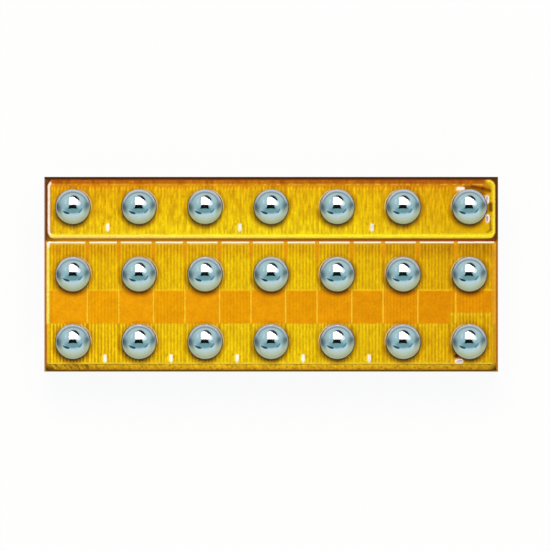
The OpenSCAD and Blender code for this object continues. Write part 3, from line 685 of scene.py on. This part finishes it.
# a ground that deepens upwards, times each finger's stripe
def paintLowerStripes(xLines, yLines, x, y, zone, lively):
    deep = smooth(*lowerSet["deepFrom"], y)
    colour = np.zeros(x.shape + (3,)) + linear(lowerSet["low"])
    colour = paint(colour, (lowerSet["high"], smooth(bandBottom, bandTop, y)), (lowerSet["deep"], deep))
    colour *= tintAlong(x, tintSet)
    colour *= (1 - (1 - lowerSet["deepRight"]) * deep * smooth(0, halfX, x))[..., None]
    faint, strong = [lowerSet[key][0] + lowerSet[key][1] * lively - 1 for key in ("stripe", "deepStripe")]
    gain = 1 + (np.interp(xLines, *zip(*lowerSet["gain"])) - 1) * fallOff(bandBottom, bandTop, y)
    level = gain * faint * (1 - deep) + strong * deep
    level += lowerSet["rough"] * patches(xLines, yLines, pitch / 2, lowerSet["roughRun"])
    return colour * (1 + zone * level)[..., None] ** tintSet["bite"]


# panels by column across the band, with a bright lip above them and bright finger tips below
def paintBand(colour, xLines, x, y, gateZone, gateStripes, lively):
    inGap = np.abs(xLines[:, None] - fingerSet["shift"] - ballX).min(axis=1) > columnHalf
    inFingers = (xLines > fingers[0] - pitch / 2) & (xLines < fingers[-1] + pitch / 2)
    toRight = smooth(*lowerSet["faintTurn"], x)
    stripe = lowerSet["faintStripe"] * (ridgeProfile(xLines, fingers)[0] - 0.5)
    panel = np.where(inGap[:, None], ramp(x, lowerSet["gapPanel"]), ramp(x, lowerSet["ballPanel"]))
    panel *= (1 + stripe * np.where(inGap, 1 - toRight, toRight))[..., None] ** tintSet["bite"]
    inBand = between(bandBottom, bandTop, y, lowerSet["fineSoft"]) * (1 - gateStripes)
    lip = between(*about(bandTop, lowerSet["panelLipAt"]), y, lowerSet["fineSoft"])
    lip = lip * np.where(inGap, *lowerSet["panelLipShare"])
    tips = between(*about(bandBottom, lowerSet["tipAt"]), y, lowerSet["soft"]) * (1 - gateStripes)
    tips += between(*about(gateTop, lowerSet["tipAt"]), y, lowerSet["soft"]) * gateZone
    tips *= lowerSet["tipShare"] * lively * inFingers
    return paint(colour, (panel, inBand), (lowerSet["panelLip"], lip), (lowerSet["panelLip"], tips))


# by the distance from the nearest rib: on it, beside it, and under and over each bar; the darker tone under
# each bar is painted shadow
def paintRibsAndBars(colour, x, y, toRib, ribZone):
    onRib = ribZone * fallOff(*lowerSet["ribFade"], toRib / fingerSet["ribWidth"])
    onRib *= between(bandBottom, bandTop + lowerSet["ribEnd"], y, lowerSet["ribSoft"])
    beside = fallOff(*lowerSet["dividerFade"], toRib) * smooth(*lowerSet["dividerFrom"], y)
    bars = smooth(*lowerSet["barFrom"], toRib)
    under = lowerSet["underShare"] * bars * smooth(*about(ridgeTop, lowerSet["underFrom"]), y)
    glow = bars * smooth(*about(barsHigh[1], lowerSet["glowFrom"]), y)
    foot = bars * between(*about(barsLow[1], lowerSet["footAt"]), y, lowerSet["fineSoft"])
    foot = foot * np.interp(x, (0, halfX), lowerSet["footShare"])
    return paint(colour, (lowerSet["rib"], onRib), (lowerSet["divider"], beside),
                 (ramp(x, lowerSet["underBar"]), under), (ramp(x, lowerSet["barGlow"]), glow),
                 (lowerSet["barFoot"], foot))


# rows of colours by the distance from each end, one above the band's foot and one below it, after painted
# light along the film's lower edge that lifts the shading of its step
def paintEdges(colour, x, y):
    lip = lowerSet["lipShare"] * fallOff(*about(lowerLow[1], lowerSet["lipFade"]), y)
    fromLeft, fromRight = x + halfX, halfX - x
    overBand = smooth(*about(bandBottom, (-lowerSet["fineSoft"], lowerSet["fineSoft"])), y)
    nearLeft = fallOff(*lowerSet["leftFade"], fromLeft)
    nearRight = lowerSet["rightShare"] * fallOff(*lowerSet["rightFade"], fromRight)
    lineTop = nearLeft * smooth(*about(lowerHigh[1], lowerSet["lineTopFrom"]), y)
    return paint(colour, (lowerSet["lipTone"], lip),
                 (ramp(fromLeft, lowerSet["line"]), nearLeft * overBand),
                 (ramp(fromLeft, lowerSet["margin"]), nearLeft * (1 - overBand)),
                 (lowerSet["lineTop"], lineTop),
                 (ramp(fromRight, lowerSet["edge"]), nearRight * overBand),
                 (ramp(fromRight, lowerSet["lowEdge"]), nearRight * (1 - overBand)))


# height: flat film, plus ridges clear of ribs and pads, plus the round backs of the ribs and the left line
def lowerFilm():
    soft, fine = lowerSet["soft"], lowerSet["fineSoft"]
    ribWidth, barWidth, ribRise = fingerSet["ribWidth"], fingerSet["barWidth"], lowerHigh[2] - filmTop
    xLines = filmLines(-halfX, halfX, pitch / fingerSet["gridLines"], ballX[0] + fingerSet["shift"])
    xLines = joinLines(xLines, ribs)
    yLines = filmLines(lowerLow[1], lowerHigh[1], lowerSet["rowStep"])
    x, y = filmGrid(xLines, yLines, lowerLow, lowerHigh, lowerSet["corner"], lowerSet["squeeze"])
    gateZone = smooth(-fine, fine, x - (gateX + fingerSet["shift"] - columnHalf))
    gateStripes = between(bandBottom - lowerSet["gateFoot"], gateTop, y, soft) * gateZone
    highZone = between(bandTop, ridgeTop, y, soft)
    lowZone = between(lowerLow[1] + fingerSet["edgeMargin"], bandBottom, y, soft)
    zone = np.clip(highZone + lowZone + gateStripes, 0, 1)
    clear = clearOfPads(ballDistance(x, y, ballSpots[columns:]))
    toRib = np.abs(xLines[:, None] - ribs).min(axis=1)
    ribZone = between(bandBottom, ridgeTop, y, fine) * clear
    ridges = ridgeProfile(xLines, fingers)[0] * (toRib > ribWidth / 2)
    leftLine = roundBack(x + halfX - barWidth / 2, barWidth, ribRise)
    z = filmTop + lowerSet["ridgeHeight"] * ridges * zone * clear
    z += np.maximum(roundBack(toRib, ribWidth, ribRise), leftLine) * ribZone
    lively = livelyStripes(xLines)
    colour = paintLowerStripes(xLines, yLines, x, y, zone, lively)
    colour = paintBand(colour, xLines, x, y, gateZone, gateStripes, lively)
    colour = paintRibsAndBars(colour, x, y, toRib, ribZone)
    colour = paintEdges(colour, x, y)
    colour = paintBallShadows(colour, x, y, ballSpots[columns:])
    colour = paintMarks(colour, x, y, markSet["lower"])
    mesh = filmMesh("amberFilmLower", x, y, z, colour, np.full(x.shape, lowerSet["dullness"]))
    return addPiece(mesh, polyimide, "passivation", "lower_passivation")


polyimide = filmMaterial()
upper = upperFilm()
lower = lowerFilm()
print("films", len(upper.data.polygons), len(lower.data.polygons), "faces")


# tin-silver-copper solder, reflowed: a bright skin on top that turns to a dull oxide round the flank, whose
# dark tone is also a painted reflection of the shaded film round it, and which is lighter at its upper side
# by painted light; its grain is drawn as coarse as it needs to show

solderSet = dict(bright="#E0E6E8", flank="#666860", flankHigh="#C4C8CE", highFrom=(0.45, 0.9),
                 toneFrom=(-0.004, 0.003), roughFrom=(0.0, 0.007), roughness=(0.55, 0.07),
                 grain=0.02, detail=3.0, stainAndShadow=(-0.06, 0.06), bump=0.0003, bumpStrength=0.3)


def solderMaterial():  # colour and roughness by the height above and below the crown's foot
    material, add, place = startSurface("tin-silver-copper solder, reflowed")
    height = add("SeparateXYZ", [place]).outputs["Z"]
    toneEnds, roughEnds = [about(crownFoot, solderSet[steps]) for steps in ("toneFrom", "roughFrom")]
    skin = add("MapRange", [height, *toneEnds], interpolation_type="SMOOTHSTEP")
    rough = add("MapRange", [height, *roughEnds, *solderSet["roughness"]], interpolation_type="SMOOTHSTEP")
    grain = add("TexNoise", [place, 1 / solderSet["grain"], solderSet["detail"]])
    stainAndShadow = add("MapRange", [grain, *noiseSpan, *solderSet["stainAndShadow"]])
    amount = add("Math", [skin, stainAndShadow], operation="ADD", use_clamp=True)
    # the flank's tone: dark as a painted reflection of shaded film, and lighter on its upper side by painted
    # light
    litSide = add("Attribute", attribute_name="litFlank").outputs["Fac"]
    flank = add("Mix", [litSide, solderSet["flank"], solderSet["flankHigh"]], data_type="RGBA")
    colour = add("Mix", [amount, flank, solderSet["bright"]], data_type="RGBA")
    finishSurface(add, solderSet, grain, {"Base Color": colour, "Roughness": rough, "Metallic": 1.0})
    return material


# crown arc, then flank arc down to the pad, both by slope, turned about the ball's axis and a hair uneven
def ballMesh(name, spot):
    turns, flank, waves = ballSet["turns"], ballSet["flank"], ballSet["waves"]
    foot = np.pi / 2 + np.arcsin(ballSet["waist"] / flank)
    slope = np.concatenate([np.linspace(0, crownEnd, ballSet["crownRings"] + 1)[1:],
                            np.linspace(crownEnd, foot, ballSet["flankRings"] + 1)[1:]])
    onCrown = slope <= crownEnd
    radius = np.where(onCrown, crownRadius * np.sin(slope), flankMiddle + flank * np.sin(slope))[:, None]
    z = np.where(onCrown, ballTop - crownRadius * (1 - np.cos(slope)),
                 ballFoot + ballSet["waist"] + flank * np.cos(slope))
    turn = np.linspace(0, 2 * np.pi, turns, endpoint=False)[None, :]
    push, phase = chance.normal(size=waves), chance.random(waves) * 2 * np.pi
    wave = sum(push[i] * np.cos((i + 1) * turn + phase[i]) for i in range(waves))
    radius = radius * (1 + ballSet["unevenness"] * wave * np.sin(np.pi * radius / ballRadius) ** 2)
    grid = [spot[0] + radius * np.cos(turn), spot[1] + radius * np.sin(turn), z[:, None] + 0 * turn]
    grid = np.stack(grid, -1)
    points = np.concatenate([grid.reshape(-1, 3), [[*spot, ballTop], [*spot, ballFoot]]])
    rings = len(slope)
    index = np.arange(rings * turns).reshape(rings, turns)
    after = np.roll(index, -1, axis=1)
    quads = np.stack([index[:-1], index[1:], after[1:], after[:-1]], -1).reshape(-1, 4)
    crown = np.stack([np.full(turns, rings * turns), index[0], after[0]], -1)
    seat = np.stack([np.full(turns, rings * turns + 1), after[-1], index[-1]], -1)
    mesh = meshFrom(name, points, [quads, crown, seat])
    # painted light: each turn's share of the lighter flank tone, most on the upper side
    litSide = np.append(np.tile(smooth(*solderSet["highFrom"], np.sin(turn[0])), rings), [0, 0])
    mesh.attributes.new("litFlank", "FLOAT", "POINT").data.foreach_set("value", litSide.astype(np.float32))
    return mesh


solder = solderMaterial()
for name, spot in zip(ballNames, ballSpots):
    addPiece(ballMesh("solderBall_" + name, spot), solder, "solder", "solder_ball_" + name)
print("solder balls", len(ballNames))


# silicon, sawn and ground: dark grey, with brown tones on its ledge, darkest at the top and upper right by
# painted shade, and saw lines on its sides that are drawn as coarse as they need to show

siliconSet = dict(
    grey="#5C5E62", light="#7C7E82", sawLine=0.012, sawRun=(0.06, 0.06, 1.0), speck=0.03, detail=3.0,
    ledgeFrom=(-0.034, -0.031), topFrom=(-0.02, -0.015), footFrom=(0.02, 0.015), roughness=(0.3, 0.5),
    metallic=(0.35, 0.0), specular=0.1, bump=0.002, bumpStrength=0.5,
    # ledge tones by side; the near-black top and the dark upper right are painted shade of the low ledge
    ledges=dict(top=("#2C1400", "#523004"), foot=("#8A5C1E", "#C2903E"), lower=("#A4640A", "#D8941E"),
                upperLeft=("#8A500C", "#AE781A"), upperRight=("#4A2C02", "#7A520A")))


def siliconMaterial():  # saw lines are noise drawn out along x and y; the ledge has a brown tone by its side, darkest where it is painted shade
    material, add, place = startSurface("silicon, sawn and ground")
    x, y, z = add("SeparateXYZ", [place]).outputs
    drawn = add("Mapping", {"Vector": place, "Scale": siliconSet["sawRun"]})
    lines = add("TexNoise", [drawn, 1 / siliconSet["sawLine"], siliconSet["detail"]])
    specks = add("TexNoise", [place, 1 / siliconSet["speck"], siliconSet["detail"]])
    grey = add("Mix", [lines, siliconSet["grey"], siliconSet["light"]], data_type="RGBA")
    ledgeTones = {side: add("Mix", [specks, *tones], data_type="RGBA")
             for side, tones in siliconSet["ledges"].items()}
    isRight = add("Math", [x, 0.0], operation="GREATER_THAN")
    isUpper = add("MapRange", [y, lowerHigh[1], upperLow[1]])
    isTop = add("MapRange", [y, *about(dieHigh[1], siliconSet["topFrom"])])
    isFoot = add("MapRange", [y, *about(dieLow[1], siliconSet["footFrom"])])
    isLedge = add("MapRange", [z, *about(dieHigh[2], siliconSet["ledgeFrom"])])
    stainAndShadow = add("Mix", [isRight, ledgeTones["upperLeft"], ledgeTones["upperRight"]], data_type="RGBA")
    stainAndShadow = add("Mix", [isUpper, ledgeTones["lower"], stainAndShadow], data_type="RGBA")
    stainAndShadow = add("Mix", [isTop, stainAndShadow, ledgeTones["top"]], data_type="RGBA")
    stainAndShadow = add("Mix", [isFoot, stainAndShadow, ledgeTones["foot"]], data_type="RGBA")
    colour = add("Mix", [isLedge, grey, stainAndShadow], data_type="RGBA")
    rough = add("MapRange", [lines, *noiseSpan, *siliconSet["roughness"]])
    metal = add("MapRange", [isLedge, 0.0, 1.0, *siliconSet["metallic"]])
    finishSurface(add, siliconSet, lines, {"Base Color": colour, "Roughness": rough, "Metallic": metal,
                                           "Specular IOR Level": siliconSet["specular"]})
    return material


# silicon nitride, deposited: brown by interference, glossy, broken into flecks along the sawn lower edge; the
# tones of mottle and ends are factors for red, green and blue

nitrideSet = dict(
    moat=("#C68A0A", "#96482A"), moatEnd="#5E2A06", moatEndFrom=-0.12, moatEndShare=0.6,
    border=("#B8741A", "#602E02"), borderFrom=-0.004, borderTurn=(-0.004, 0.008), borderTop=-0.01,
    inner="#E6B040", innerFrom=(-0.012, -0.006), innerFoot=(-0.01, 0.01),
    # street: gold, brightest at the film's edge by painted light that lifts the shadow of the film's step
    street=[(0.28, "#BE8416"), (0.42, "#D09816"), (0.55, "#D8A414"), (0.82, "#E6B614"), (0.9, "#ECC028"),
            (1.0, "#F8D040")], streetDark="#7A5004", streetTop=0.001,
    mottle=0.02, mottleTones=((0.86, 0.84, 0.6, 1), (1.3, 1.34, 1.0, 1)), endFrom=(0.5, 1.4),
    endTone=(0.78, 0.76, 0.8, 1), corner="#4A2A06", cornerFrom=(-0.095, -0.045),
    stroke=(0.07, 0.014, 1.0), lean=-0.9, strokeSpan=(0.36, 0.56), strokeFrom=(-1.2, -1.45),
    strokeShare=(0.3, 1.0), dotGap=0.045, dotSize=(0.1, 0.24), dotShare=0.6, detail=2.0,
    roughness=0.35, ior=2.0, specular=0.03, bump=0.003, bumpStrength=0.5)


def moatAndBorder(add, x, y, reach):  # a moat that darkens to its ends, and a border with a bright left line
    across = add("MapRange", [x, -halfX, halfX])
    moat = add("Mix", [across, *nitrideSet["moat"]], data_type="RGBA")
    nearEnd = add("MapRange", [reach, halfX + nitrideSet["moatEndFrom"], halfX, 0.0,
                               nitrideSet["moatEndShare"]])
    moat = add("Mix", [nearEnd, moat, nitrideSet["moatEnd"]], data_type="RGBA")
    isTop = add("MapRange", [y, *about(lowerHigh[1], nitrideSet["borderTurn"])])
    border = add("Mix", [isTop, *nitrideSet["border"]], data_type="RGBA")
    inner = add("MapRange", [x, *about(-halfX, nitrideSet["innerFrom"])])
    atLeft = add("Math", [x, 0.0], operation="LESS_THAN")
    inner = add("Math", [inner, atLeft], operation="MULTIPLY")
    inner = add("Mix", [inner, border, nitrideSet["inner"]], data_type="RGBA")
    overBand = add("MapRange", [y, *about(bandBottom, nitrideSet["innerFoot"])])
    besideCell = add("Math", [overBand, isTop], operation="SUBTRACT", use_clamp=True)
    border = add("Mix", [besideCell, border, inner], data_type="RGBA")
    outside = add("MapRange", [reach, halfX + nitrideSet["borderFrom"], halfX])
    above = add("Math", [y, upperHigh[1] + nitrideSet["borderTop"]], operation="GREATER_THAN")
    outside = add("Math", [outside, above], operation="MAXIMUM")
    return add("Mix", [outside, moat, border], data_type="RGBA")


# the street's top stop is painted light that lifts the shadow cast by the film's edge
def sawnStreet(add, y, reach, place, dark):  # gold towards the film, mottled, dim at its ends, dark in flecks
    low = add("MapRange", [y, dieLow[1], lowerLow[1]])
    street = add("ValToRGB", [low], stops=nitrideSet["street"])
    mottle = add("TexNoise", [place, 1 / nitrideSet["mottle"], nitrideSet["detail"]])
    mottle = add("MapRange", [mottle, *noiseSpan])
    mottle = add("Mix", [mottle, *nitrideSet["mottleTones"]], data_type="RGBA")
    street = add("VectorMath", [street, mottle], operation="MULTIPLY")
    atEnd = add("MapRange", [reach, *nitrideSet["endFrom"]])
    ends = add("Mix", [atEnd, "#FFFFFF", nitrideSet["endTone"]], data_type="RGBA")
    street = add("VectorMath", [street, ends], operation="MULTIPLY")
    street = add("Mix", [dark, street, nitrideSet["streetDark"]], data_type="RGBA")
    toCorner = add("Math", [reach, y], operation="SUBTRACT")
    corner = add("MapRange", [toCorner, *about(dieHigh[0] - dieLow[1], nitrideSet["cornerFrom"])])
    return add("Mix", [corner, street, nitrideSet["corner"]], data_type="RGBA")


def nitrideMaterial():  # flecks are slanting strokes, strongest at the left end, and dots
    material, add, place = startSurface("silicon nitride, deposited")
    x, y = add("SeparateXYZ", [place]).outputs[:2]
    reach = add("Math", [x], operation="ABSOLUTE")
    colour = moatAndBorder(add, x, y, reach)
    strokes = add("Mapping", {"Vector": place, "Rotation": (0, 0, nitrideSet["lean"]),
                              "Scale": nitrideSet["stroke"]}, vector_type="TEXTURE")
    flecks = add("TexNoise", [strokes, 1.0, nitrideSet["detail"]])
    dark = add("MapRange", [flecks, *nitrideSet["strokeSpan"], 1.0, 0.0])
    atLeft = add("MapRange", [x, *nitrideSet["strokeFrom"], *nitrideSet["strokeShare"]])
    dark = add("Math", [dark, atLeft], operation="MULTIPLY")
    cells = add("TexVoronoi", [place, 1 / nitrideSet["dotGap"]], voronoi_dimensions="2D")
    dots = add("MapRange", [cells, *nitrideSet["dotSize"], nitrideSet["dotShare"], 0.0])
    dark = add("Math", [dark, dots], operation="MAXIMUM")
    street = sawnStreet(add, y, reach, place, dark)
    below = add("Math", [y, lowerLow[1] + nitrideSet["streetTop"]], operation="LESS_THAN")
    colour = add("Mix", [below, colour, street], data_type="RGBA")
    finishSurface(add, nitrideSet, flecks, {"Base Color": colour, "Roughness": nitrideSet["roughness"],
                                            "IOR": nitrideSet["ior"],
                                            "Specular IOR Level": nitrideSet["specular"]})
    return material


# metals and oxide of the buried layers, satin with a fine grain, and bare aluminium that the probes have
# roughened: pale and dull, with a violet tarnish towards the right end of the die; their grain is drawn as
# coarse as it needs to show

layerSet = dict(
    electrode=dict(name="aluminium-copper, sputtered", tones=("#C9B68A", "#E0D2A8"), metallic=1.0,
                   roughness=0.3, grain=0.02),
    gate=dict(name="titanium nitride, sputtered", tones=("#8E7A4E", "#A8925E"), metallic=1.0, roughness=0.35,
              grain=0.02),
    oxide=dict(name="silicon oxide, deposited", tones=("#A87C2A", "#C0903A"), metallic=0.0, roughness=0.3,
               grain=0.03),
    bars=dict(name="aluminium, etched and bare", tones=("#FFF0C8", "#FFF9E2"), metallic=0.1, roughness=0.5,
              grain=0.012),
    marks=dict(name="aluminium, probed and tarnished", tones=("#FAF2E4", "#FFFFFF"), metallic=0.1,
               roughness=0.5, grain=0.012, tarnish="#8442A6"),
    pad=dict(name="nickel, plated", tones=("#A8A294", "#C8C2B4"), metallic=1.0, roughness=0.3, grain=0.015))
layerFinish = dict(detail=3.0, roughSpread=(0.8, 1.2), bump=0.0008, bumpStrength=0.5)
tarnishSet = dict(reach=2.0, spread=(0.72, 0.42), cloud=0.035, detail=0.0, below=0.6,
                  share=[(0.5, "#000000"), (0.7, "#8C8C8C"), (1.0, "#8C8C8C"), (1.3, "#FFFFFF"),
                         (1.634, "#FFFFFF"), (1.645, "#606060")])


def tarnishShare(add, place):  # a share along x, as greys, times wide clouds; none above a line
    x, y = add("SeparateXYZ", [place]).outputs[:2]
    along = add("MapRange", [x, 0.0, tarnishSet["reach"]])
    share = add("ValToRGB", [along],
                stops=[(spot / tarnishSet["reach"], tone) for spot, tone in tarnishSet["share"]])
    cloud = add("TexNoise", [place, 1 / tarnishSet["cloud"], tarnishSet["detail"]])
    spread = add("MapRange", [cloud, *tarnishSet["spread"]])
    share = add("Math", [share, spread], operation="MULTIPLY")
    below = add("Math", [y, tarnishSet["below"]], operation="LESS_THAN")
    return add("Math", [share, below], operation="MULTIPLY")


def layerMaterial(layer):  # two tones mixed by a fine noise, which also moves the roughness
    material, add, place = startSurface(layer["name"])
    grain = add("TexNoise", [place, 1 / layer["grain"], layerFinish["detail"]])
    colour = add("Mix", [grain, *layer["tones"]], data_type="RGBA")
    if "tarnish" in layer:
        colour = add("Mix", [tarnishShare(add, place), colour, layer["tarnish"]], data_type="RGBA")
    roughEnds = [layer["roughness"] * factor for factor in layerFinish["roughSpread"]]
    rough = add("MapRange", [grain, *noiseSpan, *roughEnds])
    finishSurface(add, layerFinish, grain, {"Base Color": colour, "Roughness": rough,
                                            "Metallic": layer["metallic"]})
    return material


layers = {key: layerMaterial(layer) for key, layer in layerSet.items()}
dress(siliconMaterial(), "silicon_substrate")
dress(nitrideMaterial(), "nitride_film")
dress(layers["electrode"], "upper_source_comb", "upper_drain_comb", "lower_source_comb", "lower_drain_comb")
dress(layers["gate"], "upper_gate_line", "lower_gate_line")
dress(layers["oxide"], "upper_dielectric", "lower_dielectric")
dress(layers["bars"], "lower_edge_bars")
dress(layers["marks"], "upper_probe_marks", "lower_probe_marks")
dress(layers["pad"], *["bump_pad_" + name for name in ballNames])
print("materials ready")
